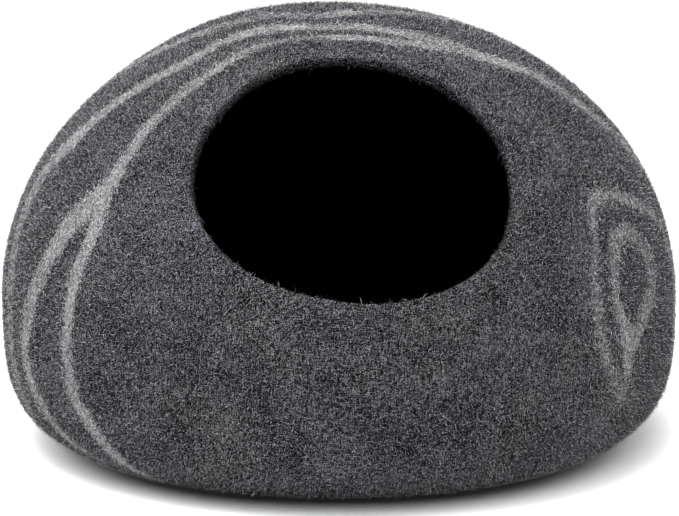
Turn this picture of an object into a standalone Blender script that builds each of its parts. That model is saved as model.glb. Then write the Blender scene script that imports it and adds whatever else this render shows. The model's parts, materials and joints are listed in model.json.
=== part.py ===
"""A felt cat cave: one seamless shell of thick wool felt with a slanted round mouth.

Metres, +Z up. The origin is the middle of the flat foot, and the mouth looks
towards -Y. Run it with blender --background --python part.py.
"""
import math

import bmesh
import bpy
from mathutils import Vector

# ---- Driving dimensions ------------------------------------------------------

WIDTH = 0.460           # across the belly, side to side and front to back
HEIGHT = 0.297          # floor to the top of the crown
BELLY_HEIGHT = 0.100    # the height at which the cave is widest
WALL = 0.007            # thickness of the felt

# Fullness is a superellipse's exponent: 2 is an ellipse, and more is squarer.
PLAN_FULLNESS = 2.1
CROWN_FULLNESS = 2.0
BASE_FULLNESS = 3.85
BASE_DEPTH = 1.08 * BELLY_HEIGHT    # the base's curve runs below the floor, which flattens it

# The mouth's axis runs from the belly's centre out through the mouth. Its
# outline is an egg shape in a plane square to that axis, MOUTH_PLANE away.
MOUTH_TURN = math.radians(1.0)      # from -Y towards +X
MOUTH_RISE = math.radians(33.1)     # above level
MOUTH_PLANE = 0.200
MOUTH_RIGHT = 0.1095
MOUTH_LEFT = 0.0955
MOUTH_TOP = 0.0995
MOUTH_BOTTOM = 0.0815
MOUTH_FULLNESS = 2.11
MOUTH_TILT = math.radians(-12.3)    # the egg is turned a little within its plane
LIP_ROUNDING = 0.0030   # radius of the felt's edges around the mouth

SPOKES = 60             # faces around the mouth's axis
RINGS = 32              # rings from the mouth's edge to the back

# Felting by hand leaves broad, shallow swells. Each is a bump on the radius:
# its direction from the belly's centre, how far it spreads, and its height.
SWELLS = [
    # turn from -Y towards +X, rise, spread (degrees), height (metres)
    {"turn": -90, "rise": 66, "spread": 15, "height": 0.0030},
    {"turn": 90, "rise": 74, "spread": 15, "height": -0.0014},
    {"turn": 90, "rise": 26, "spread": 15, "height": 0.0008},
    {"turn": -92, "rise": -18, "spread": 15, "height": -0.0014},
    {"turn": 92, "rise": -12, "spread": 15, "height": 0.0008},
    {"turn": 72, "rise": -36, "spread": 18, "height": 0.0016},
    {"turn": -72, "rise": -36, "spread": 18, "height": 0.0010},
    {"turn": 150, "rise": 24, "spread": 28, "height": 0.0026},
    {"turn": -140, "rise": 38, "spread": 30, "height": -0.0022},
    {"turn": 178, "rise": -6, "spread": 26, "height": -0.0018},
]

BELLY = Vector((0, 0, BELLY_HEIGHT))


def direction(turn, rise):
    """The unit vector at an angle turned from -Y towards +X, and raised above level."""
    level = math.cos(rise)
    return Vector((math.sin(turn) * level, -math.cos(turn) * level, math.sin(rise)))


def superellipse(across, up, half_across, half_up, fullness):
    """The radius of a superellipse along the direction (across, up)."""
    total = abs(across / half_across) ** fullness + abs(up / half_up) ** fullness
    return total ** (-1 / fullness)


def swell(ray):
    """The height of all the swells along a unit ray from the belly's centre."""
    total = 0
    for row in SWELLS:
        peak = direction(math.radians(row["turn"]), math.radians(row["rise"]))
        away = math.degrees(ray.angle(peak)) / row["spread"]
        total += row["height"] * math.exp(-away ** 2)
    return total


def body_point(ray):
    """The point of the cave's outside along a unit ray from the belly's centre."""
    level = math.hypot(ray.x, ray.y)
    half = WIDTH / 2
    plan = half
    if level > 0:
        plan = superellipse(ray.x / level, ray.y / level, half, half, PLAN_FULLNESS)
    if ray.z >= 0:
        radius = superellipse(level, ray.z, plan, HEIGHT - BELLY_HEIGHT, CROWN_FULLNESS)
    else:
        radius = superellipse(level, ray.z, plan, BASE_DEPTH, BASE_FULLNESS)
    point = BELLY + ray * (radius + swell(ray))
    if point.z < 0:
        point = BELLY + ray * (BELLY_HEIGHT / -ray.z)   # the flat foot, at z = 0
        point.z = 0
    return point


# ---- The mouth ---------------------------------------------------------------

MOUTH_AXIS = direction(MOUTH_TURN, MOUTH_RISE)
MOUTH_SIDE = MOUTH_AXIS.cross(Vector((0, 0, 1))).normalized() * -1   # towards +X
MOUTH_UP = MOUTH_AXIS.cross(MOUTH_SIDE).normalized()


def mouth_spread(spoke):
    """How far the mouth's edge opens from its axis, as an angle, along a spoke."""
    across = math.cos(spoke - MOUTH_TILT)
    up = math.sin(spoke - MOUTH_TILT)
    half_across = MOUTH_RIGHT if across > 0 else MOUTH_LEFT
    half_up = MOUTH_TOP if up > 0 else MOUTH_BOTTOM
    return math.atan2(superellipse(across, up, half_across, half_up, MOUTH_FULLNESS), MOUTH_PLANE)


def mouth_ray(spoke, spread):
    """The unit ray at an angle of spread from the mouth's axis, along a spoke."""
    sideways = MOUTH_SIDE * math.cos(spoke) + MOUTH_UP * math.sin(spoke)
    return MOUTH_AXIS * math.cos(spread) + sideways * math.sin(spread)


# ---- The felt ----------------------------------------------------------------

def felt_material():
    """Dark grey felted wool."""
    material = bpy.data.materials.new("grey_wool_felt")
    material.use_nodes = True
    shader = material.node_tree.nodes["Principled BSDF"]
    shader.inputs["Base Color"].default_value = (0.065, 0.065, 0.072, 1)
    shader.inputs["Roughness"].default_value = 0.95
    shader.inputs["Metallic"].default_value = 0
    return material


def open_shell():
    """The cave's outside as an open sheet.

    A sphere with its pole on the mouth's axis loses that pole. Its rings are
    then slid back, so that the first lies on the mouth's edge, and each point
    goes out to the cave's surface.
    """
    shell = bmesh.new()
    bmesh.ops.create_uvsphere(shell, u_segments=SPOKES, v_segments=RINGS + 1, radius=1)
    mouth_pole = max(shell.verts, key=lambda vert: vert.co.z)
    bmesh.ops.delete(shell, geom=[mouth_pole], context="VERTS")
    first_ring = math.pi / (RINGS + 1)
    for vert in shell.verts:
        spoke = math.atan2(vert.co.y, vert.co.x)
        polar = math.acos(max(-1, min(1, vert.co.z)))
        edge = mouth_spread(spoke)
        share = (polar - first_ring) / (math.pi - first_ring)
        vert.co = body_point(mouth_ray(spoke, edge + (math.pi - edge) * share))
    bmesh.ops.recalc_face_normals(shell, faces=shell.faces)
    return shell


def fold_outwards(shell):
    """Split each four-sided face along the diagonal that stands further out.

    The cave bulges nearly everywhere, so that diagonal lies closer to its
    true surface. The faces along the mouth stay whole for the lip's rounding.
    """
    for face in list(shell.faces):
        if len(face.verts) == 3 or any(vert.is_boundary for vert in face.verts):
            continue
        first, second, third, fourth = face.verts
        reach = ((first.co + third.co) / 2 - BELLY).length
        other_reach = ((second.co + fourth.co) / 2 - BELLY).length
        if reach > other_reach:
            bmesh.utils.face_split(face, first, third)
        else:
            bmesh.utils.face_split(face, second, fourth)


def centre_over_origin(shell):
    """Shift the shell level, so that its box is centred over the origin."""
    for axis in (0, 1):
        places = [vert.co[axis] for vert in shell.verts]
        middle = (min(places) + max(places)) / 2
        for vert in shell.verts:
            vert.co[axis] -= middle


def felt_shell(collection):
    """The whole cave: one wall of felt, flat underneath, with a rounded mouth."""
    shell = open_shell()
    fold_outwards(shell)
    centre_over_origin(shell)
    mesh = bpy.data.meshes.new("felt_shell")
    shell.to_mesh(mesh)
    shell.free()
    mesh.materials.append(felt_material())
    cave = bpy.data.objects.new("felt_shell", mesh)
    collection.objects.link(cave)

    wall = cave.modifiers.new("wall", "SOLIDIFY")
    wall.thickness = WALL
    wall.offset = -1
    wall.use_even_offset = True

    lip = cave.modifiers.new("lip", "BEVEL")
    lip.width = LIP_ROUNDING
    lip.segments = 2
    lip.limit_method = "ANGLE"
    lip.angle_limit = math.radians(50)

    mesh.shade_smooth()
    mesh.set_sharp_from_angle(angle=math.radians(50))
    return cave


def main():
    for thing in list(bpy.data.objects):
        bpy.data.objects.remove(thing)
    collection = bpy.data.collections.new("felt_cat_cave")
    bpy.context.scene.collection.children.link(collection)
    felt_shell(collection)


main()
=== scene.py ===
# %% [markdown]
# # A felt cat cave
#
# The real cave is one piece. Grey wool is laid over a round former, wetted and
# rubbed until its fibres lock into a seamless shell, and a slanted mouth is cut
# in the upper front. Lines of pale wool are laid in before felting, so they
# lie in the surface and don't stand on it.
#
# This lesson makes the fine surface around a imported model, which sets the
# size. Geometry Nodes shape the shell by its rule, measure how far each point
# is from the pale lines, and strew the loose fibres.

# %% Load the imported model
import json
import math

import bmesh
import bpy
import numpy as np
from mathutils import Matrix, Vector
from mathutils.bvhtree import BVHTree

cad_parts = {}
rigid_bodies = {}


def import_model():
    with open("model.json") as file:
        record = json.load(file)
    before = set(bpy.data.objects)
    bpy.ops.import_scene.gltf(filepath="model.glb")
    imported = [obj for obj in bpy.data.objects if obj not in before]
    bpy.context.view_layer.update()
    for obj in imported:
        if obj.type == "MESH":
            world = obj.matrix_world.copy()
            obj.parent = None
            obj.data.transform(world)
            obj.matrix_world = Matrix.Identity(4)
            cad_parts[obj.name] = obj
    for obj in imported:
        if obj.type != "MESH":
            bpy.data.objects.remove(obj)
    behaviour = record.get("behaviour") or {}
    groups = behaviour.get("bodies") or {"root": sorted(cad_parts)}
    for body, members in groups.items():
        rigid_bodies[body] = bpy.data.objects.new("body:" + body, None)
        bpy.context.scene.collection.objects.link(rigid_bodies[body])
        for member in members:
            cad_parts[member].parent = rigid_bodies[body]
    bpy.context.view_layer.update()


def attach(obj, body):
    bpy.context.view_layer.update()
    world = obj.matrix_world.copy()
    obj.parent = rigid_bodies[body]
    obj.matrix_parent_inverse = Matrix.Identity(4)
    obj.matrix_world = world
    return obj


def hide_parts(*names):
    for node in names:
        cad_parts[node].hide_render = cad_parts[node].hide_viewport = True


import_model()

# %% [markdown]
# ## Sizes
#
# The cave is a little under half a metre wide. Seen from above it is almost
# round; seen from the side its crown is half an ellipse and its base a fuller
# curve that is cut off flat by the floor. A superellipse describes all three:
# an exponent of 2 is an ellipse, and more is squarer. Felting by hand leaves
# broad, shallow swells, and each is a bump on the radius.

# %% Sizes of the shell
WIDTH = 0.460           # across the belly, side to side and front to back
HEIGHT = 0.297          # floor to the top of the crown
BELLY_HEIGHT = 0.100    # the height at which the cave is widest
WALL = 0.007            # thickness of the felt
PLAN_FULLNESS = 2.1
CROWN_FULLNESS = 2.0
BASE_FULLNESS = 3.85
BASE_DEPTH = 1.08 * BELLY_HEIGHT    # the base's curve runs below the floor

SWELLS = [
    # turn from -Y towards +X, rise, spread (degrees), height (metres)
    {"turn": -90, "rise": 66, "spread": 15, "height": 0.0030},
    {"turn": 90, "rise": 74, "spread": 15, "height": -0.0014},
    {"turn": 90, "rise": 26, "spread": 15, "height": 0.0008},
    {"turn": -92, "rise": -18, "spread": 15, "height": -0.0014},
    {"turn": 92, "rise": -12, "spread": 15, "height": 0.0008},
    {"turn": 72, "rise": -36, "spread": 18, "height": 0.0016},
    {"turn": -72, "rise": -36, "spread": 18, "height": 0.0010},
    {"turn": 150, "rise": 24, "spread": 28, "height": 0.0026},
    {"turn": -140, "rise": 38, "spread": 30, "height": -0.0022},
    {"turn": 178, "rise": -6, "spread": 26, "height": -0.0018},
]
print(len(SWELLS), "swells on a shell", WIDTH, "m wide and", HEIGHT, "m high")

# %% [markdown]
# The mouth is an egg shape in a plane square to its own axis, which runs from
# the belly's centre out and up to the front. Its four half sizes differ, and
# the egg is turned a little within its plane, as a cut by eye is.

# %% Sizes of the mouth
MOUTH_TURN = math.radians(1.0)      # from -Y towards +X
MOUTH_RISE = math.radians(33.1)     # above level
MOUTH_PLANE = 0.200                 # from the belly's centre
MOUTH_RIGHT = 0.1095
MOUTH_LEFT = 0.0955
MOUTH_TOP = 0.0995
MOUTH_BOTTOM = 0.0815
MOUTH_FULLNESS = 2.11
MOUTH_TILT = math.radians(-12.3)


def direction(turn, rise):
    """The unit vector turned from -Y towards +X, and raised above level."""
    level = math.cos(rise)
    return Vector((math.sin(turn) * level, -math.cos(turn) * level, math.sin(rise)))


BELLY = Vector((0, 0, BELLY_HEIGHT))
MOUTH_AXIS = direction(MOUTH_TURN, MOUTH_RISE)
MOUTH_SIDE = Vector((0, 0, 1)).cross(MOUTH_AXIS).normalized()
MOUTH_UP = MOUTH_AXIS.cross(MOUTH_SIDE).normalized()
print("the mouth looks along", [round(part, 3) for part in MOUTH_AXIS])

# %% [markdown]
# ## Writing nodes as arithmetic
#
# Node trees are clearer as expressions. A `Wire` is one socket, and each
# operator on it adds a Math node. Every other node comes from `Nodes.add`,
# which sets the node's settings first and its sockets second. The same two
# classes serve shader trees and geometry trees.

# %% The wire class


class Wire:
    """A socket on which Python's arithmetic adds Math nodes."""

    def __init__(self, nodes, socket):
        self.nodes = nodes
        self.socket = socket

    def maths(self, operation, *values):
        sockets = dict(enumerate(values))
        return self.nodes.add("ShaderNodeMath", {"operation": operation}, sockets)

    def other(self, name):
        """Another output of the same node."""
        return Wire(self.nodes, self.socket.node.outputs[name])

    def __add__(self, value):
        return self.maths("ADD", self, value)

    def __radd__(self, value):
        return self.maths("ADD", value, self)

    def __sub__(self, value):
        return self.maths("SUBTRACT", self, value)

    def __rsub__(self, value):
        return self.maths("SUBTRACT", value, self)

    def __mul__(self, value):
        return self.maths("MULTIPLY", self, value)

    def __rmul__(self, value):
        return self.maths("MULTIPLY", value, self)

    def __truediv__(self, value):
        return self.maths("DIVIDE", self, value)

    def __rtruediv__(self, value):
        return self.maths("DIVIDE", value, self)

    def __pow__(self, value):
        return self.maths("POWER", self, value)

    def __abs__(self):
        return self.maths("ABSOLUTE", self)

    def __gt__(self, value):
        return self.maths("GREATER_THAN", self, value)

    def __lt__(self, value):
        return self.maths("LESS_THAN", self, value)

    def smooth(self, low, high):
        """0 below low, 1 above high, and an easy curve between them."""
        settings = {"interpolation_type": "SMOOTHSTEP"}
        sockets = {"Value": self, "From Min": low, "From Max": high}
        return self.nodes.add("ShaderNodeMapRange", settings, sockets)


# %% The nodes class


class Nodes:
    """Adds nodes to one tree."""

    def __init__(self, tree):
        self.tree = tree

    def plug(self, value, socket):
        if isinstance(value, Wire):
            self.tree.links.new(value.socket, socket)
        else:
            socket.default_value = value

    def add(self, kind, settings=None, sockets=None, output=0):
        node = self.tree.nodes.new(kind)
        for name, value in (settings or {}).items():
            setattr(node, name, value)
        for name, value in (sockets or {}).items():
            self.plug(value, node.inputs[name])
        return Wire(self, node.outputs[output])

    def vector(self, operation, *values, output=0):
        sockets = dict(enumerate(values))
        return self.add("ShaderNodeVectorMath", {"operation": operation}, sockets, output)

    def scaled(self, vector, amount):
        sockets = {0: vector, "Scale": amount}
        return self.add("ShaderNodeVectorMath", {"operation": "SCALE"}, sockets)

    def parts(self, vector):
        """The X, Y and Z of a vector."""
        x = self.add("ShaderNodeSeparateXYZ", None, {0: vector})
        return x, x.other("Y"), x.other("Z")


# %% [markdown]
# A geometry tree is a recipe with named inputs. `recipe` makes the tree and
# its inputs; `cook` puts it on an object, fills the inputs in by their
# identifiers, and turns the result into a plain mesh with no modifier left.

# %% Geometry recipes
KINDS = {int: "NodeSocketInt", float: "NodeSocketFloat", "object": "NodeSocketObject",
         "collection": "NodeSocketCollection", "material": "NodeSocketMaterial"}


def recipe(name, inputs):
    """A geometry tree with a mesh going in and out, and the named inputs."""
    tree = bpy.data.node_groups.new(name, "GeometryNodeTree")
    tree.interface.new_socket("Geometry", in_out="INPUT", socket_type="NodeSocketGeometry")
    for label, kind in inputs.items():
        tree.interface.new_socket(label, in_out="INPUT", socket_type=KINDS[kind])
    tree.interface.new_socket("Geometry", in_out="OUTPUT", socket_type="NodeSocketGeometry")
    start = tree.nodes.new("NodeGroupInput")
    nodes = Nodes(tree)
    wires = {label: Wire(nodes, start.outputs[label]) for label in ["Geometry", *inputs]}
    return nodes, wires


def serve(nodes, geometry, material):
    """End a recipe: real geometry, with its material."""
    real = nodes.add("GeometryNodeRealizeInstances", None, {"Geometry": geometry})
    sockets = {"Geometry": real, "Material": material}
    painted = nodes.add("GeometryNodeSetMaterial", None, sockets)
    nodes.tree.links.new(painted.socket, nodes.tree.nodes.new("NodeGroupOutput").inputs[0])


# %% Cooking a recipe
def link(thing):
    """Put an object into the scene."""
    bpy.context.scene.collection.objects.link(thing)
    return thing


def plain_mesh(thing, name):
    """The object as its modifiers leave it, as a new object with none."""
    graph = bpy.context.evaluated_depsgraph_get()
    mesh = bpy.data.meshes.new_from_object(thing.evaluated_get(graph))
    mesh.name = name
    return link(bpy.data.objects.new(name, mesh))


def cook(nodes, name, host, values):
    """Run a recipe on a copy of the host mesh and keep the result as a plain mesh."""
    pan = link(bpy.data.objects.new("pan", host))
    modifier = pan.modifiers.new(name, "NODES")
    modifier.node_group = nodes.tree
    for item in nodes.tree.interface.items_tree:
        if item.in_out == "INPUT" and item.name in values:
            modifier[item.identifier] = values[item.name]
    result = plain_mesh(pan, name)
    bpy.data.objects.remove(pan)
    print(name, "has", len(result.data.polygons), "faces")
    return result


# %% [markdown]
# ## Wool colours
#
# Undyed grey wool is a blend: nearly black, mid grey and almost white fibres,
# carded together. The blend reads as charcoal from a step away. The pale lines
# are the lighter wool of the same sheep. Each loose fibre has one shade, so
# the fibres are sorted into a few shades; the matted ground under them is a
# pattern of the same shades. Loose fibres have a little sheen, which lightens
# the cave towards its outline, and the ground has none, so the cut lip, whose
# colour is painted near black as shade, stays dark.

# %% Shades of wool
SHADES = {
    "wool_black": (0.0030, 0.0029, 0.0036),
    "wool_charcoal": (0.022, 0.021, 0.025),
    "wool_grey": (0.066, 0.064, 0.073),
    "wool_silver": (0.195, 0.192, 0.207),
    "wool_mist": (0.330, 0.327, 0.335),
    "wool_pale": (0.450, 0.447, 0.443),
}
WOOL_ROUGHNESS = 0.92
WOOL_GLOSS = 0.03
SHEEN_ROUGHNESS = 0.5
FIBRE_SHEEN = 0.07
GROUND_SHEEN = 0


def wool_shader(name, sheen):
    """A material with its Principled shader set up as wool."""
    material = bpy.data.materials.new(name)
    material.use_nodes = True
    shader = material.node_tree.nodes["Principled BSDF"]
    shader.inputs["Roughness"].default_value = WOOL_ROUGHNESS
    shader.inputs["Specular IOR Level"].default_value = WOOL_GLOSS
    shader.inputs["Sheen Weight"].default_value = sheen
    shader.inputs["Sheen Roughness"].default_value = SHEEN_ROUGHNESS
    return material, shader


def fibre_material(name):
    """One shade of loose wool fibre."""
    material, shader = wool_shader(name, FIBRE_SHEEN)
    shader.inputs["Base Color"].default_value = (*SHADES[name], 1)
    return material


fibre_wools = {name: fibre_material(name) for name in SHADES}
print("wool shades:", ", ".join(fibre_wools))

# %% [markdown]
# The ground is the matted felt itself. Close up it is a mat of fine straight
# strands that lie across each other. A noise that is squeezed across and drawn
# out along one direction gives short strokes that lie that way. Six such
# layers are laid at six turns, so strokes cross everywhere on the round shell.
# They read object coordinates, so the strands keep their real size. Where
# strands cross, the wool is pale, and between them it is nearly black.

# %% The mat of strands
STRAND_LAYS = [
    # turns about X, Y and Z in degrees
    (0, 0, 0), (90, 0, 0), (0, 90, 0), (50, 35, 0), (-50, 35, 20), (40, -50, 60)]
STRAND_THICKNESS = 0.00058
STRAND_LENGTH = 0.0060
STRAND_WAVER = 0.4
STRAND_LIMITS = (0.45, 0.60)    # the noise's values where a strand starts and is full
LAY_SHIFT = (0.37, 0.11)        # metres that set one lay's noise apart from the next


def strokes(nodes, place, lay, shift):
    """Short strokes that lie along Z, turned by the lay."""
    turned = nodes.add("ShaderNodeMapping", {"vector_type": "TEXTURE"}, {
        "Vector": place, "Location": (shift * LAY_SHIFT[0], shift * LAY_SHIFT[1], 0),
        "Rotation": [math.radians(turn) for turn in lay],
        "Scale": (STRAND_THICKNESS, STRAND_THICKNESS, STRAND_LENGTH)})
    sockets = {"Vector": turned, "Scale": 1, "Detail": 0, "Distortion": STRAND_WAVER}
    return nodes.add("ShaderNodeTexNoise", None, sockets).smooth(*STRAND_LIMITS)


def strand_mat(nodes, place):
    """All the lays: 0 in a gap, and 1 where every lay has a strand."""
    mat = 0
    for shift, lay in enumerate(STRAND_LAYS):
        mat = mat + strokes(nodes, place, lay, shift) / len(STRAND_LAYS)
    return mat


# %% [markdown]
# Four coarser noises keep the mat from looking even: small tufts, the wisps
# that make a line's edge ragged, the uneven blend of light and dark wool, and
# a slow drift between a cooler and a warmer grey.
#
# Attributes that the geometry recipes leave on the mesh say where the pale
# lines run, how much pale wool they hold, and how deep below the outer skin a
# point lies. Below the skin the colour is painted shade: the inside and the cut
# lip are near black, far darker than the grey wool they are made of.

# %% Numbers of the ground wool
NOISES = {
    # waves a metre, steps of finer detail, and the strength of each step
    "tuft": (210, 3, 0.6),
    "wisp": (85, 2, 0.6),
    "blend": (30, 2, 0.5),
    "drift": (17, 2, 0.5),
}
NOISE_MIDDLE = 0.5
MAT_MIDDLE = 0.55

TUFTS_IN_GRAIN = 0.05
BLEND_IN_GRAIN = 0.34
GRAIN_LIMITS = (0.385, 0.79)
DRIFT_LIMITS = (0.38, 0.62)
WARM_SILVER = (0.199, 0.195, 0.203, 1)
COOL_SILVER = (0.188, 0.188, 0.214, 1)

TUFTS_IN_LINE = 0.8
WISPS_IN_LINE = 0.7
MAT_IN_LINE = 0.40
LINE_LIMITS = (0.20, 0.80)
LINE_GAPS = (0.13, 0.128, 0.135, 1)     # the wool between the pale strands

# Painted shade: below the skin the wool turns near black, over the cut lip and inside.
TUFTS_IN_LIP_SHADE = 0.4
MAT_IN_LIP_SHADE = 0.6
LIP_SHADE_LIMITS = (-0.10, 1.05)              # depths, where the wall's thickness is 1
PAINTED_INSIDE_SHADE_GAPS = (0.0008, 0.0008, 0.0010, 1)
PAINTED_INSIDE_SHADE_STRANDS = (0.0080, 0.0078, 0.0088, 1)

BUMP_HEIGHT = 0.0010
MAT_IN_BUMP = 1.5

# %% The ground wool


def ground_wool():
    """The matted felt: its grain, the pale lines, and shade painted below the skin."""
    material, shader = wool_shader("matted_wool", GROUND_SHEEN)
    nodes = Nodes(material.node_tree)
    place = nodes.add("ShaderNodeTexCoord", output="Object")

    def noise(name):
        scale, detail, roughness = NOISES[name]
        return nodes.add("ShaderNodeTexNoise", None, {
            "Vector": place, "Scale": scale, "Detail": detail, "Roughness": roughness})

    def mixed(factor, first, second):
        sockets = {0: factor, 6: first, 7: second}
        return nodes.add("ShaderNodeMix", {"data_type": "RGBA"}, sockets, 2)

    def attribute(name):
        return nodes.add("ShaderNodeAttribute", {"attribute_name": name}, output="Fac")

    mat = strand_mat(nodes, place)
    tuft = noise("tuft")
    mats, tufts = mat - MAT_MIDDLE, tuft - NOISE_MIDDLE
    blends, wisps = noise("blend") - NOISE_MIDDLE, noise("wisp") - NOISE_MIDDLE

    grain = (mat + tufts * TUFTS_IN_GRAIN + blends * BLEND_IN_GRAIN).smooth(*GRAIN_LIMITS)
    silver = mixed(noise("drift").smooth(*DRIFT_LIMITS), WARM_SILVER, COOL_SILVER)
    felt = mixed(grain, (*SHADES["wool_black"], 1), silver)

    line = attribute("pale_line") + tufts * TUFTS_IN_LINE + wisps * WISPS_IN_LINE
    line = (line + mats * MAT_IN_LINE).smooth(*LINE_LIMITS) * attribute("pale_share")
    outside = mixed(line, felt, mixed(grain, LINE_GAPS, (*SHADES["wool_pale"], 1)))

    # Painted shade: the colour turns near black with depth, with a ragged edge over the lip.
    depth = attribute("depth") + tufts * TUFTS_IN_LIP_SHADE - mats * MAT_IN_LIP_SHADE
    painted_inside_shade = mixed(grain, PAINTED_INSIDE_SHADE_GAPS, PAINTED_INSIDE_SHADE_STRANDS)
    colour = mixed(depth.smooth(*LIP_SHADE_LIMITS), outside, painted_inside_shade)
    nodes.plug(colour, shader.inputs["Base Color"])

    bump = nodes.add("ShaderNodeBump", None, {
        "Strength": 1.0, "Distance": BUMP_HEIGHT, "Height": mat * MAT_IN_BUMP + tuft})
    nodes.plug(bump, shader.inputs["Normal"])
    return material


matted_wool = ground_wool()
print("ground wool has", len(matted_wool.node_tree.nodes), "nodes")

# %% [markdown]
# ## The shell
#
# The shell starts as a sphere whose pole lies on the mouth's axis. The pole is
# dropped, which opens the mouth, and the rings of points slide back so that
# the first one lies on the mouth's edge. Each point then goes out to the
# cave's surface, which a rule gives for any direction. A very low noise keeps
# the surface hand-made, and the mouth's edge wanders as a cut by hand does.

# %% The mouth's edge
LIP_WANDER = 0.010      # radians of spread
WANDER_SCALE = 2.6      # waves over the width of a circle round the mouth


def superellipse(across, up, half_across, half_up, fullness):
    """The radius of a superellipse along (across, up), as nodes."""
    total = abs(across / half_across) ** fullness + abs(up / half_up) ** fullness
    return total ** (-1 / fullness)


def mouth_spread(nodes, spoke):
    """The angle by which the mouth's edge opens from its axis, along a spoke."""
    turned = spoke - MOUTH_TILT
    across, up = turned.maths("COSINE", turned), turned.maths("SINE", turned)
    half_across = MOUTH_LEFT + (across > 0) * (MOUTH_RIGHT - MOUTH_LEFT)
    half_up = MOUTH_BOTTOM + (up > 0) * (MOUTH_TOP - MOUTH_BOTTOM)
    radius = superellipse(across, up, half_across, half_up, MOUTH_FULLNESS)
    circle = nodes.add("ShaderNodeCombineXYZ", None, {"X": across, "Y": up})
    wander = nodes.add("ShaderNodeTexNoise", None, {
        "Vector": circle, "Scale": WANDER_SCALE, "Detail": 2})
    edge = radius.maths("ARCTAN2", radius, MOUTH_PLANE)
    return edge + (wander - NOISE_MIDDLE) * LIP_WANDER


# %% The cave's rule
SKIN_UNEVENNESS = 0.0010
SKIN_NOISE = {"Scale": 7.0, "Detail": 4, "Roughness": 0.62}
TINY = 1e-12            # keeps a ray straight up from dividing by zero
LEAST_FALL = 1e-4       # does the same for a level ray and the floor


def cave_reach(nodes, wires, ray):
    """How far the cave's outside lies along a unit ray from the belly's centre."""
    x, y, z = nodes.parts(ray)
    level = (x * x + y * y + TINY) ** 0.5
    half = wires["Width"] / 2
    crown_height = wires["Height"] - wires["Belly Height"]
    plan = superellipse(x / level, y / level, half, half, PLAN_FULLNESS)
    crown = superellipse(level, z, plan, crown_height, CROWN_FULLNESS)
    base = superellipse(level, z, plan, wires["Base Depth"], BASE_FULLNESS)
    above = z > 0
    reach = crown * above + base * (1 - above)
    for row in SWELLS:
        peak = direction(math.radians(row["turn"]), math.radians(row["rise"]))
        facing = nodes.vector("DOT_PRODUCT", ray, tuple(peak), output=1)
        away = facing.maths("ARCCOSINE", facing) / math.radians(row["spread"])
        height = away * away * -1
        reach = reach + height.maths("EXPONENT", height) * row["height"]
    skin = nodes.add("ShaderNodeTexNoise", None, {"Vector": ray, **SKIN_NOISE})
    reach = reach + (skin - NOISE_MIDDLE) * wires["Unevenness"]

    # No lower than the floor.
    fall = z * -1
    floor_reach = wires["Belly Height"] / fall.maths("MAXIMUM", fall, LEAST_FALL)
    flat = (reach > floor_reach) * (z < 0)
    return reach + flat * (floor_reach - reach)


# %% The outer sheet's recipe
POLE_HEIGHT = 0.99995   # on the sphere: above this there is only the pole


def towards(nodes, first, second, angle):
    """The vector at an angle from the first towards the second."""
    return nodes.vector("ADD", nodes.scaled(first, angle.maths("COSINE", angle)),
                        nodes.scaled(second, angle.maths("SINE", angle)))


def sheet_recipe():
    """The cave's outside as an open sheet."""
    nodes, wires = recipe("outer_sheet", {
        "Spokes": int, "Rings": int, "Width": float, "Height": float,
        "Belly Height": float, "Base Depth": float, "Unevenness": float,
        "Material": "material"})
    sphere = nodes.add("GeometryNodeMeshUVSphere", None, {
        "Segments": wires["Spokes"], "Rings": wires["Rings"] + 1})
    x, y, z = nodes.parts(nodes.add("GeometryNodeInputPosition"))
    opened = nodes.add("GeometryNodeDeleteGeometry", {"domain": "POINT"}, {
        "Geometry": sphere, "Selection": z > POLE_HEIGHT})

    # Slide the rings back to the mouth's edge.
    spoke = y.maths("ARCTAN2", y, x)
    first_ring = math.pi / (wires["Rings"] + 1)
    share = (z.maths("ARCCOSINE", z) - first_ring) / (math.pi - first_ring)
    edge = mouth_spread(nodes, spoke)
    spread = edge + (math.pi - edge) * share

    # Send each point out to the cave's surface.
    sideways = towards(nodes, tuple(MOUTH_SIDE), tuple(MOUTH_UP), spoke)
    ray = towards(nodes, tuple(MOUTH_AXIS), sideways, spread)
    reach = nodes.scaled(ray, cave_reach(nodes, wires, ray))
    point = nodes.vector("ADD", reach, tuple(BELLY))
    shaped = nodes.add("GeometryNodeSetPosition", None, {
        "Geometry": opened, "Position": point})
    smooth = nodes.add("GeometryNodeSetShadeSmooth", None, {"Geometry": shaped})
    serve(nodes, smooth, wires["Material"])
    return nodes


# %% Make the outer sheet
SPOKES = 224            # faces round the mouth's axis
RINGS = 126             # rings from the mouth's edge to the back

empty_mesh = bpy.data.meshes.new("nothing")
sheet = cook(sheet_recipe(), "outer_sheet", empty_mesh, {
    "Spokes": SPOKES, "Rings": RINGS, "Width": WIDTH, "Height": HEIGHT,
    "Belly Height": BELLY_HEIGHT, "Base Depth": BASE_DEPTH,
    "Unevenness": SKIN_UNEVENNESS, "Material": matted_wool})

# %% [markdown]
# The swells put the sheet's box a little off the middle, so it is shifted level
# until the box is centred. Solidify then gives the felt its thickness inwards,
# and a bevel rounds the two edges of the cut mouth.

# %% Centre the sheet and give it its wall
LIP_ROUNDING = 0.0032
LIP_SEGMENTS = 5
LIP_ANGLE = math.radians(50)    # only the edges of the cut are this sharp

corners = np.empty(len(sheet.data.vertices) * 3)
sheet.data.vertices.foreach_get("co", corners)
corners = corners.reshape(-1, 3)
middle = (corners.min(axis=0) + corners.max(axis=0)) / 2
corners[:, :2] -= middle[:2]
sheet.data.vertices.foreach_set("co", corners.ravel())
sheet.data.update()
sheet_size = np.round(np.ptp(corners, axis=0) * 1000, 1).tolist()
print("sheet box (mm):", sheet_size, "moved by", middle[:2])

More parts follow.
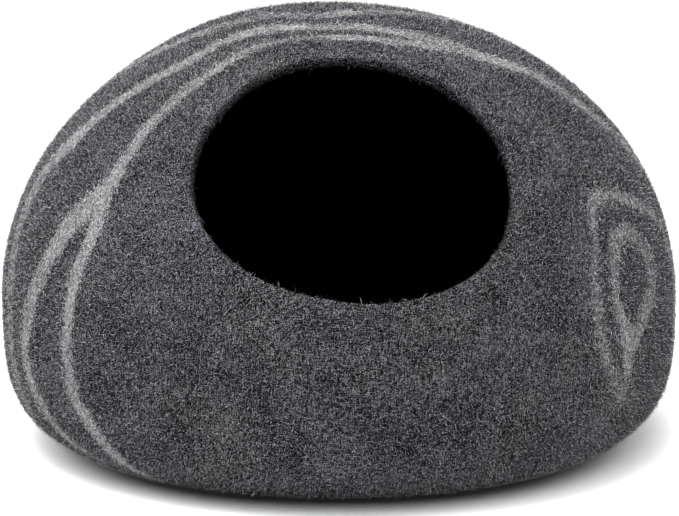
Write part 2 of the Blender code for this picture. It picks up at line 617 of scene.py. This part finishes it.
wall = sheet.modifiers.new("wall", "SOLIDIFY")
wall.thickness = WALL
wall.offset = -1
wall.use_even_offset = True
lip = sheet.modifiers.new("lip", "BEVEL")
lip.width = LIP_ROUNDING
lip.segments = LIP_SEGMENTS
lip.limit_method = "ANGLE"
lip.angle_limit = LIP_ANGLE
walled = plain_mesh(sheet, "walled")
sheet.modifiers.clear()
print("walled shell has", len(walled.data.polygons), "faces")

# %% [markdown]
# ## The pale lines
#
# Each line is a strand of pale wool laid over the former by hand: long loops
# that sweep over the crown and round the flanks. A line is a few points on the
# cave, given as the angle round from the mouth and the angle above the belly,
# joined by a smooth curve and pushed out to the surface. The strand is thick
# in some places and thin in others, so each point also has a width and a share
# of pale wool.

# %% Where the lines run
LINES = {
    # turn and rise in degrees, half width in millimetres, share of pale wool
    "crown_sweep": [
        (51, 59, 9.5, 0.60), (44, 65, 8.0, 0.50), (38, 67, 7.8, 0.80), (27, 70, 6.7, 0.70),
        (21, 71.5, 6.8, 0.95), (4, 72.5, 5.6, 0.80), (-14, 72, 5.5, 0.60),
        (-25, 71.5, 5.6, 0.95), (-40, 69, 8.0, 0.70), (-47, 66, 7.0, 0.85),
        (-52, 61, 5.2, 0.65), (-54, 55, 5.8, 0.80), (-59, 48, 6.2, 0.65),
        (-63, 43, 6.5, 0.80), (-66, 38, 7.8, 0.70), (-68, 32, 9.0, 0.70),
        (-72, 27, 10.0, 0.60), (-73, 21, 10.5, 0.46), (-73, 15, 10.0, 0.40),
        (-71, 7, 9.5, 0.34), (-70, -2, 9.0, 0.32), (-68, -9, 8.5, 0.30),
        (-65, -15, 8.0, 0.22)],
    "brow_sweep": [
        (51, 59, 8.0, 0.60), (37, 62.5, 5.5, 0.70), (27, 64.5, 5.5, 0.70),
        (10, 67, 4.7, 0.80), (-4, 67.5, 3.9, 0.90), (-13, 67, 3.8, 0.50),
        (-22, 65.5, 3.8, 0.35), (-29, 64, 4.5, 0.50), (-34, 61.5, 4.2, 0.60),
        (-38, 56, 4.6, 0.75), (-41.5, 50, 4.8, 0.60), (-44, 43.5, 5.0, 0.55),
        (-45.5, 37, 5.2, 0.65), (-45.5, 31, 4.7, 0.85), (-46, 27, 7.3, 0.75),
        (-46, 22, 7.8, 0.80), (-45.5, 17, 5.8, 0.95), (-47, 11.5, 5.4, 0.80),
        (-47.5, 4, 5.1, 0.95), (-47.7, -3, 4.9, 0.70), (-46.5, -8, 4.9, 0.72),
        (-43, -13, 5.4, 0.85), (-39, -20, 6.0, 0.75), (-36, -26, 5.5, 0.40)],
    "flank_fall": [
        (-47, 25, 8.8, 0.80), (-49, 22.5, 9.6, 0.75), (-52, 19, 10.0, 0.78),
        (-54.5, 14, 7.4, 0.85), (-57, 9, 7.6, 0.65), (-59, 5, 7.4, 0.85),
        (-60.5, 0.5, 7.8, 0.70), (-62, -3, 7.0, 0.70), (-60, -8.5, 6.0, 0.72),
        (-56.5, -12.5, 5.5, 0.75), (-53, -16.5, 5.0, 0.65), (-48, -21, 5.0, 0.35)],
    "top_band": [
        (-98, 40, 8.5, 0.50), (-90, 46, 8.5, 0.45), (-84, 52, 8.5, 0.55),
        (-79, 56, 7.5, 0.60), (-73, 63, 7.8, 0.40), (-66, 72, 7.8, 0.34),
        (-50, 77, 7.5, 0.38), (-19, 79, 7.2, 0.45), (8, 82, 7.2, 0.85), (42, 82, 7.2, 0.45),
        (83, 78, 8.0, 0.40), (104, 69, 8.0, 0.45), (118, 58, 7.5, 0.60)],
    "shoulder_sweep": [
        (51, 59, 9.5, 0.65), (54, 57, 8.8, 0.78), (58.5, 54, 7.6, 0.98),
        (63.5, 51.5, 7.4, 0.92), (68, 48.5, 7.4, 0.65), (71, 44.5, 7.8, 0.55),
        (73.5, 39.5, 7.2, 0.50), (77, 35, 7.4, 0.50), (81, 29, 7.6, 0.48),
        (88, 20, 7.4, 0.60), (96, 8, 6.6, 0.80), (100, -5, 6.0, 0.75),
        (97, -17, 5.6, 0.45)],
    "haunch_loop": [
        (51, -9, 3.8, 0.25), (48, -4, 4.2, 0.40), (46, 0.5, 4.8, 0.52), (45, 5, 4.6, 0.50),
        (45.5, 10.5, 4.4, 0.40), (47.3, 15.5, 4.2, 0.28), (49, 20, 5.0, 0.48),
        (51.5, 23, 5.8, 0.56), (57, 23, 5.6, 0.48), (62, 21.6, 4.9, 0.50),
        (67, 19.6, 4.5, 0.60), (72.5, 17, 4.4, 0.52), (77, 12, 5.0, 0.40),
        (79, 3, 5.4, 0.50), (77, -7, 5.0, 0.40)],
    "haunch_drop": [
        (51.5, -10, 5.0, 0.35), (53.3, -5, 6.0, 0.56), (53, -1, 6.8, 0.85),
        (51.2, 3, 6.2, 1.00), (50.2, 7, 4.8, 0.75), (51.2, 12, 5.4, 0.50),
        (54.2, 15.8, 6.8, 0.56), (58.5, 16, 7.0, 0.54), (62, 13, 7.6, 0.40),
        (63.5, 9, 8.8, 0.36), (62.5, 6.5, 8.4, 0.42), (60, 4, 8.0, 0.52),
        (57.2, 1.5, 7.6, 0.60), (55, -1, 7.2, 0.65)],
    "back_sweep": [
        (118, 58, 7.5, 0.60), (128, 50, 5.2, 0.85), (142, 41, 7.6, 0.70),
        (158, 34, 5.2, 0.90), (175, 31, 8.2, 0.50), (-168, 32, 5.6, 0.85),
        (-150, 36, 4.6, 0.95), (-134, 40, 7.2, 0.70), (-118, 42, 8.6, 0.50),
        (-106, 41, 6.4, 0.65), (-98, 40, 8.5, 0.50)],
    "back_fall": [
        (-134, 40, 7.0, 0.70), (-141, 33, 8.6, 0.60), (-145, 24, 5.4, 0.90),
        (-146, 13, 4.6, 0.75), (-142, 2, 7.2, 0.50), (-134, -8, 5.4, 0.80),
        (-125, -17, 5.0, 0.35), (-120, -22, 4.5, 0.10)],
    "back_loop": [
        (-104, -21, 4.4, 0.10), (-107, -14, 5.6, 0.50), (-103, -5, 5.2, 0.75),
        (-101, 5, 4.4, 0.90), (-103, 14, 5.8, 0.60), (-108, 21, 7.2, 0.48),
        (-114, 23, 6.2, 0.62), (-120, 18, 4.8, 0.80), (-121, 9, 4.6, 0.90),
        (-118, 0, 6.6, 0.55), (-113, -7, 7.2, 0.65), (-108, -13, 6.0, 0.55)],
    "back_drop": [
        (168, -21, 4.6, 0.10), (166, -14, 6.0, 0.55), (158, -7, 5.2, 0.85),
        (153, 1, 6.6, 0.60), (153, 10, 4.8, 0.90), (159, 17, 6.8, 0.52),
        (167, 19, 5.4, 0.70), (173, 14, 4.8, 0.85), (175, 6, 6.8, 0.48),
        (172, -3, 7.0, 0.60), (167, -12, 5.8, 0.60)],
}
print(len(LINES), "lines through", sum(map(len, LINES.values())), "points")

# %% Join the points of a line
CURVE_STEPS = 8         # between one point and the next


def smooth_path(rows):
    """A smooth curve through the rows of one line: rays, half widths and shares."""
    stops = []
    for turn, rise, half_width, share in rows:
        ray = direction(math.radians(turn), math.radians(rise))
        stops.append(np.array([*ray, half_width / 1000, share]))
    stops = [stops[0] * 2 - stops[1], *stops, stops[-1] * 2 - stops[-2]]
    path = []
    for before, start, end, after in zip(stops, stops[1:], stops[2:], stops[3:]):
        for step in range(CURVE_STEPS):
            part = step / CURVE_STEPS
            path.append((start * 2 + (end - before) * part
                         + (before * 2 - start * 5 + end * 4 - after) * part ** 2
                         + (start * 3 - before - end * 3 + after) * part ** 3) / 2)
    path.append(stops[-2])
    return path


# %% Lay the lines on the shell
def skin_finder():
    """A search tree of the outer sheet, for casting rays out to it."""
    points = [vert.co.copy() for vert in sheet.data.vertices]
    faces = [tuple(face.vertices) for face in sheet.data.polygons]
    return BVHTree.FromPolygons(points, faces)


def lay_lines():
    """The lines as chains of edges on the skin, with widths and shares."""
    skin = skin_finder()
    centre = BELLY - Vector((middle[0], middle[1], 0))
    points, edges, half_widths, shares = [], [], [], []
    for rows in LINES.values():
        first = len(points)
        for stop in smooth_path(rows):
            hit = skin.ray_cast(centre, Vector(stop[:3]).normalized())[0]
            if hit is not None:
                points.append(hit)
                half_widths.append(stop[3])
                shares.append(stop[4])
        edges += [(index, index + 1) for index in range(first, len(points) - 1)]
    mesh = bpy.data.meshes.new("pale_lines")
    mesh.from_pydata(points, edges, [])
    for name, values in (("half_width", half_widths), ("pale_share", shares)):
        mesh.attributes.new(name, "FLOAT", "POINT").data.foreach_set("value", values)
    return link(bpy.data.objects.new("pale_lines", mesh))


pale_lines = lay_lines()
print("pale lines have", len(pale_lines.data.vertices), "points on the skin")

# %% [markdown]
# The next recipe measures the skin. For each point of the shell it stores how
# deep the point lies below the outer sheet, how close it is to the nearest
# pale line, and how much pale wool that line holds there. A line is full at
# its core and fades out a little past its half width.

# %% Measure the skin
LINE_CORE = 0.10        # of the half width
LINE_FRINGE = 1.75


def zone_recipe():
    """Store on the shell its depth, its nearness to a line, and the line's share."""
    nodes, wires = recipe("zones", {
        "Skin": "object", "Pale Lines": "object", "Wall": float, "Material": "material"})

    def geometry_of(label):
        info = nodes.add("GeometryNodeObjectInfo", {"transform_space": "ORIGINAL"}, {
            "Object": wires[label]})
        return info.other("Geometry")

    def distance_to(geometry, element):
        settings = {"target_element": element}
        return nodes.add("GeometryNodeProximity", settings, {0: geometry}).other("Distance")

    def keep(geometry, name, value):
        settings = {"data_type": "FLOAT", "domain": "POINT"}
        return nodes.add("GeometryNodeStoreNamedAttribute", settings, {
            "Geometry": geometry, "Name": name, "Value": value})

    lines = geometry_of("Pale Lines")
    nearest = nodes.add("GeometryNodeSampleNearest", {"domain": "POINT"}, {"Geometry": lines})

    def at_line(name):
        settings = {"data_type": "FLOAT"}
        value = nodes.add("GeometryNodeInputNamedAttribute", settings, {"Name": name})
        return nodes.add("GeometryNodeSampleIndex", {**settings, "domain": "POINT"}, {
            "Geometry": lines, "Value": value, "Index": nearest})

    half_width = at_line("half_width")
    away = distance_to(lines, "EDGES")
    near = 1 - away.smooth(half_width * LINE_CORE, half_width * LINE_FRINGE)
    depth = distance_to(geometry_of("Skin"), "FACES") / wires["Wall"]
    geometry = keep(wires["Geometry"], "depth", depth)
    geometry = keep(geometry, "pale_line", near)
    geometry = keep(geometry, "pale_share", at_line("pale_share"))
    serve(nodes, geometry, wires["Material"])
    return nodes


shell = cook(zone_recipe(), "shell", walled.data, {
    "Skin": sheet, "Pale Lines": pale_lines, "Wall": WALL, "Material": matted_wool})
bpy.data.objects.remove(walled)

# %% [markdown]
# ## Loose fibres
#
# Short fibres lie all over felt, crossing at every angle, and some stand up
# as a fine fuzz that softens the outline. There are very many, so each is the
# simplest closed solid: a bent needle of four faces, with a root, a tip, and
# two points beside the bend. A recipe scatters the needles over the skin,
# spins each one and lifts its tip. One run makes the fibres of one shade, and
# the last run makes the fuzz: shorter, thinner and nearly upright.

# %% The fibre's forms
FIBRE_LENGTH = 0.0040
FIBRE_HALF_WIDTH = 0.00010
BENDS = (0.0004, -0.0003, 0.0001)   # how far the three forms bend sideways
TIP_BEND = 0.4                      # the tip's share of the bend
BEND_PLACE = 0.45                   # the bend's place along the fibre
LEFT_RISE = 0.0002                  # the bend stands off the felt
RIGHT_RISE = 0.0001


def fibre_form(name, bend):
    """A bent needle from the origin along X."""
    form = bmesh.new()
    place = FIBRE_LENGTH * BEND_PLACE
    root = form.verts.new((0, 0, 0))
    tip = form.verts.new((FIBRE_LENGTH, bend * TIP_BEND, 0))
    left = form.verts.new((place, bend + FIBRE_HALF_WIDTH, LEFT_RISE))
    right = form.verts.new((place, bend - FIBRE_HALF_WIDTH, RIGHT_RISE))
    sides = ((root, left, right), (tip, right, left), (root, tip, left), (root, right, tip))
    for side in sides:
        form.faces.new(side)
    bmesh.ops.recalc_face_normals(form, faces=form.faces)
    mesh = bpy.data.meshes.new(name)
    form.to_mesh(mesh)
    form.free()
    return bpy.data.objects.new(name, mesh)


fibre_forms = bpy.data.collections.new("fibre_forms")
for index, bend in enumerate(BENDS):
    fibre_forms.objects.link(fibre_form(f"fibre_form_{index}", bend))

# %% [markdown]
# Where the fibres lie is a matter of density: one number for the plain felt,
# another for the pale lines, and none on the inside or next to the floor. How
# they lie is chance, with a seed of its own for each choice. Cubing the chance
# of the lift leaves most of the fibres lying low.

# %% How many fibres lie where
FLOOR_MARGIN = 0.0050
ON_LINE_LIMITS = (0.15, 0.75)


def fibre_density(nodes, wires):
    """Fibres a square metre, at each point of the shell."""

    def attribute(name):
        settings = {"data_type": "FLOAT"}
        return nodes.add("GeometryNodeInputNamedAttribute", settings, {"Name": name})

    height = nodes.parts(nodes.add("GeometryNodeInputPosition"))[2]
    outside = (attribute("depth") < wires["Deepest"]) * (height > FLOOR_MARGIN)
    on_line = attribute("pale_line").smooth(*ON_LINE_LIMITS) * attribute("pale_share")
    return (wires["On Felt"] * (1 - on_line) + wires["On Lines"] * on_line) * outside


# %% The fibres' recipe
SIDEWAYS_TILT = 0.6             # radians, either way
LENGTH_SPREAD = (0.6, 1.4)      # of the length


def fibre_recipe():
    """Scatter needles over the skin, spin them and lift their tips."""
    nodes, wires = recipe("loose_fibres", {
        "Forms": "collection", "On Felt": float, "On Lines": float, "Deepest": float,
        "Least Lift": float, "Most Lift": float, "Length": float, "Thickness": float,
        "Seed": int, "Material": "material"})

    def chance(low, high, seed):
        return nodes.add("FunctionNodeRandomValue", {"data_type": "FLOAT"}, {
            2: low, 3: high, "Seed": wires["Seed"] + seed}, 1)

    points = nodes.add("GeometryNodeDistributePointsOnFaces", None, {
        "Mesh": wires["Geometry"], "Density": fibre_density(nodes, wires),
        "Seed": wires["Seed"]})

    spin = nodes.add("ShaderNodeCombineXYZ", None, {"Z": chance(0, math.tau, 1)})
    lift_range = wires["Most Lift"] - wires["Least Lift"]
    lift = wires["Least Lift"] + chance(0, 1, 2) ** 3 * lift_range
    tilt = nodes.add("ShaderNodeCombineXYZ", None, {
        "X": chance(-SIDEWAYS_TILT, SIDEWAYS_TILT, 3), "Y": lift * -1})
    turned = points.other("Rotation")
    for euler in (spin, tilt):
        step = nodes.add("FunctionNodeEulerToRotation", None, {0: euler})
        turned = nodes.add("FunctionNodeRotateRotation", {"rotation_space": "LOCAL"}, {
            0: turned, 1: step})

    forms = nodes.add("GeometryNodeCollectionInfo", None, {
        "Collection": wires["Forms"], "Separate Children": True, "Reset Children": True})
    pick = nodes.add("FunctionNodeRandomValue", {"data_type": "INT"}, {
        4: 0, 5: len(BENDS) - 1, "Seed": wires["Seed"] + 4}, 2)
    sizes = nodes.add("ShaderNodeCombineXYZ", None, {
        "X": chance(*LENGTH_SPREAD, 5) * wires["Length"],
        "Y": wires["Thickness"], "Z": wires["Thickness"]})
    strewn = nodes.add("GeometryNodeInstanceOnPoints", None, {
        "Points": points, "Instance": forms, "Pick Instance": True, "Instance Index": pick,
        "Rotation": turned, "Scale": sizes})
    serve(nodes, strewn, wires["Material"])
    return nodes


# %% [markdown]
# Dark fibres may go a little way over the cut lip, and light ones stay on the
# outside, which paints shade on the lip that darkens inwards. The pale fibres
# lie on the lines alone.

# %% Strew the fibres
STRAY = (0.02, 0.5)         # lifts in radians: nearly flat to half up
FIBRES = {
    # how many a square metre lie on the plain felt and on the pale lines, how deep
    # into the wall they go, which keeps light shades off the lip as painted shade,
    # their lifts, their length and thickness against the form's own, and the seed
    "fibres_black": {"wool": "wool_black", "felt": 75000, "lines": 10000, "deepest": 0.90,
                     "lift": (0.02, 0.4), "size": (1.0, 1.0), "seed": 3},
    "fibres_charcoal": {"wool": "wool_charcoal", "felt": 65000, "lines": 20000,
                        "deepest": 0.60, "lift": STRAY, "size": (1.0, 1.0), "seed": 13},
    "fibres_grey": {"wool": "wool_grey", "felt": 80000, "lines": 80000, "deepest": 0.30,
                    "lift": STRAY, "size": (1.0, 0.9), "seed": 23},
    "fibres_silver": {"wool": "wool_silver", "felt": 60000, "lines": 130000,
                      "deepest": 0.001, "lift": STRAY, "size": (1.0, 0.8), "seed": 33},
    "fibres_pale": {"wool": "wool_pale", "felt": 0, "lines": 450000, "deepest": 0.001,
                    "lift": STRAY, "size": (0.9, 0.65), "seed": 43},
    "fuzz": {"wool": "wool_mist", "felt": 110000, "lines": 110000, "deepest": 0.001,
             "lift": (1.15, 1.6), "size": (0.55, 0.75), "seed": 63},
}


def strew(name, row):
    """One shade of fibres over the shell."""
    least, most = row["lift"]
    length, thickness = row["size"]
    return cook(scatter, name, shell.data, {
        "Forms": fibre_forms, "On Felt": float(row["felt"]), "On Lines": float(row["lines"]),
        "Deepest": row["deepest"], "Least Lift": least, "Most Lift": most, "Length": length,
        "Thickness": thickness, "Seed": row["seed"], "Material": fibre_wools[row["wool"]]})


scatter = fibre_recipe()
fibre_pieces = [strew(name, row) for name, row in FIBRES.items()]

# %% [markdown]
# ## Studio
#
# The camera looks down a little, through a long lens that keeps the round form
# from bulging.

# %% Camera
CAMERA_RISE = math.radians(12)
CAMERA_DISTANCE = 2.0
PHOTO_WIDTH = 679       # pixels
FOCAL_PIXELS = 2904.4   # the focal length in the same pixels
SENSOR = 36             # millimetres
AIM = Vector((0.0003, 0, 0.12245))

camera_data = bpy.data.cameras.new("camera")
camera_data.sensor_width = SENSOR
camera_data.lens = FOCAL_PIXELS * SENSOR / PHOTO_WIDTH
camera = link(bpy.data.objects.new("camera", camera_data))
sight = Vector((0, math.cos(CAMERA_RISE), -math.sin(CAMERA_RISE)))
camera.location = AIM - sight * CAMERA_DISTANCE
camera.rotation_euler = (math.pi / 2 - CAMERA_RISE, 0, 0)
bpy.context.scene.camera = camera
print("lens (mm):", round(camera_data.lens, 1))

# %% [markdown]
# The cave stands on a white floor that reaches past the edge of the picture.

# %% Floor
FLOOR_SIZE = 14
FLOOR_WHITE = (0.92, 0.92, 0.92, 1)
FLOOR_ROUGHNESS = 0.9
FLOOR_GLOSS = 0.1


def floor_material():
    """Matt white paper."""
    material = bpy.data.materials.new("white_sweep")
    material.use_nodes = True
    shader = material.node_tree.nodes["Principled BSDF"]
    shader.inputs["Base Color"].default_value = FLOOR_WHITE
    shader.inputs["Roughness"].default_value = FLOOR_ROUGHNESS
    shader.inputs["Specular IOR Level"].default_value = FLOOR_GLOSS
    return material


sweep = bmesh.new()
bmesh.ops.create_grid(sweep, x_segments=1, y_segments=1, size=FLOOR_SIZE / 2)
floor_mesh = bpy.data.meshes.new("floor")
sweep.to_mesh(floor_mesh)
sweep.free()
floor_mesh.materials.append(floor_material())
floor = link(bpy.data.objects.new("floor", floor_mesh))
print("floor is", FLOOR_SIZE, "m wide")

# %% [markdown]
# Large soft lights stand above and a little to the left, in front, and at both
# sides, the left side stronger. A weak, very wide light from the whole ceiling
# and a pale sky fill in the rest. The crown is then the brightest part, and
# the lights that reach in under the belly leave a soft shadow at the foot.

# %% Lights and sky
LIGHTS = {
    # place and side in metres, power in watts
    "top_softbox": ((-0.35, -0.25, 1.9), 1.6, 58),
    "front_softbox": ((0, -1.7, 1.8), 1.8, 41),
    "left_softbox": ((-1.9, -0.3, 1.5), 1.4, 33),
    "right_softbox": ((1.9, -0.3, 1.5), 1.4, 15),
}
LIGHT_TARGET = Vector((0, 0, 0.15))
CEILING_STRENGTH = 2.15
CEILING_SPREAD = math.radians(110)
SKY_STRENGTH = 0.25


def softbox(name, place, size, power):
    """A square area light that faces the cave."""
    light = bpy.data.lights.new(name, "AREA")
    light.size = size
    light.energy = power
    lamp = link(bpy.data.objects.new(name, light))
    lamp.location = place
    facing = LIGHT_TARGET - Vector(place)
    lamp.rotation_euler = facing.to_track_quat("-Z", "Y").to_euler()


for name, row in LIGHTS.items():
    softbox(name, *row)

wide_light = bpy.data.lights.new("ceiling", "SUN")
wide_light.energy = CEILING_STRENGTH
wide_light.angle = CEILING_SPREAD
link(bpy.data.objects.new("ceiling", wide_light))

world = bpy.data.worlds.new("studio")
world.use_nodes = True
background = world.node_tree.nodes["Background"]
background.inputs["Color"].default_value = (1, 1, 1, 1)
background.inputs["Strength"].default_value = SKY_STRENGTH
bpy.context.scene.world = world
bpy.context.scene.view_settings.view_transform = "Standard"
print(len(LIGHTS), "soft lights under a wide ceiling light")

# %% [markdown]
# The helpers go. The fine shell stands for the imported one, and every piece
# rides on the one body.

# %% Hand the pieces over
for helper in (sheet, pale_lines, *list(fibre_forms.objects)):
    bpy.data.objects.remove(helper)
bpy.data.collections.remove(fibre_forms)

for piece in (shell, *fibre_pieces):
    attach(piece, "root")
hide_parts("felt_shell")
